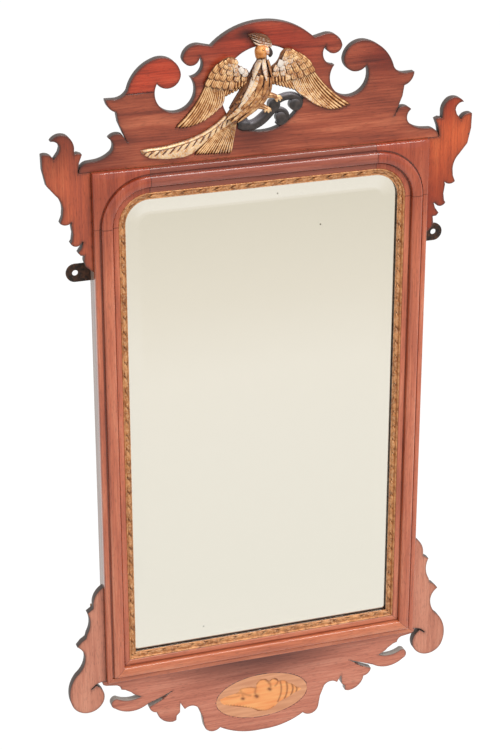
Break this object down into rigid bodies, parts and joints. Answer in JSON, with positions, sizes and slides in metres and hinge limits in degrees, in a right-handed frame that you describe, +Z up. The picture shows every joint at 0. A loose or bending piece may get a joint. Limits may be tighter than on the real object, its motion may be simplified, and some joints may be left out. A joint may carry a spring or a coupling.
{
  "type": "wall mirror",
  "caption": "Tall wall mirror: bevelled plate with rounded top corners, moulded frame, gilt slip, fretwork crest, ears and apron, gilt bird in a round opening and shell inlay.",
  "frame": {"origin": "on the wall plane, midway between the holes of the two hanging plates", "axes": "+Z up, +X to the viewer's right, +Y into the wall; the front faces -Y"},
  "size_m": [0.573, 0.0356, 1.0294],
  "materials": {
    "mahogany_crest": "polished figured mahogany, level grain",
    "mahogany_patch": "polished redder mahogany of the spliced scroll",
    "mahogany_ear": "polished mahogany, upright grain",
    "mahogany_pale": "polished faded mahogany",
    "mahogany_moulding": "polished moulded mahogany",
    "gilt_slip": "worn gilding over carved wood",
    "gilt_carving": "worn gilding over carved wood",
    "ebonised": "stained black, soft gloss",
    "mirror": "bevelled silvered glass",
    "satinwood": "pale polished veneer",
    "shell_veneer": "shaded orange veneer",
    "pine": "unfinished darkened pine",
    "pine_board": "unfinished darkened pine boards",
    "iron": "dark oxidised iron"
  },
  "bodies": {
    "root": {"apron": "mahogany_pale", "apron_blocks": "pine", "backboard_lower": "pine_board", "backboard_middle": "pine_board", "backboard_nails": "iron", "backboard_upper": "pine_board", "bird_body": "gilt_carving", "bird_plume": "gilt_carving", "bird_tail": "gilt_carving", "bird_wing_left": "gilt_carving", "bird_wing_right": "gilt_carving", "branch": "ebonised", "carcass_rail_bottom": "pine", "carcass_rail_top": "pine", "carcass_stile_left": "pine", "carcass_stile_right": "pine", "corner_blocks": "mahogany_moulding", "crest": "mahogany_crest", "crest_blocks": "pine", "crest_scroll_tip": "mahogany_patch", "ear_blocks": "pine", "ear_lower_left": "mahogany_pale", "ear_lower_right": "mahogany_pale", "ear_upper_left": "mahogany_ear", "ear_upper_right": "mahogany_ear", "glass_wedges": "pine", "hanging_plates": "iron", "inlay_ground": "satinwood", "inlay_shell": "shell_veneer", "mirror_plate": "mirror", "moulding_bottom": "mahogany_moulding", "moulding_left": "mahogany_moulding", "moulding_right": "mahogany_moulding", "moulding_top": "mahogany_moulding", "plate_nails": "iron", "slip_bottom": "gilt_slip", "slip_corners": "gilt_slip", "slip_left": "gilt_slip", "slip_right": "gilt_slip", "slip_top": "gilt_slip"}
  },
  "joints": []
}
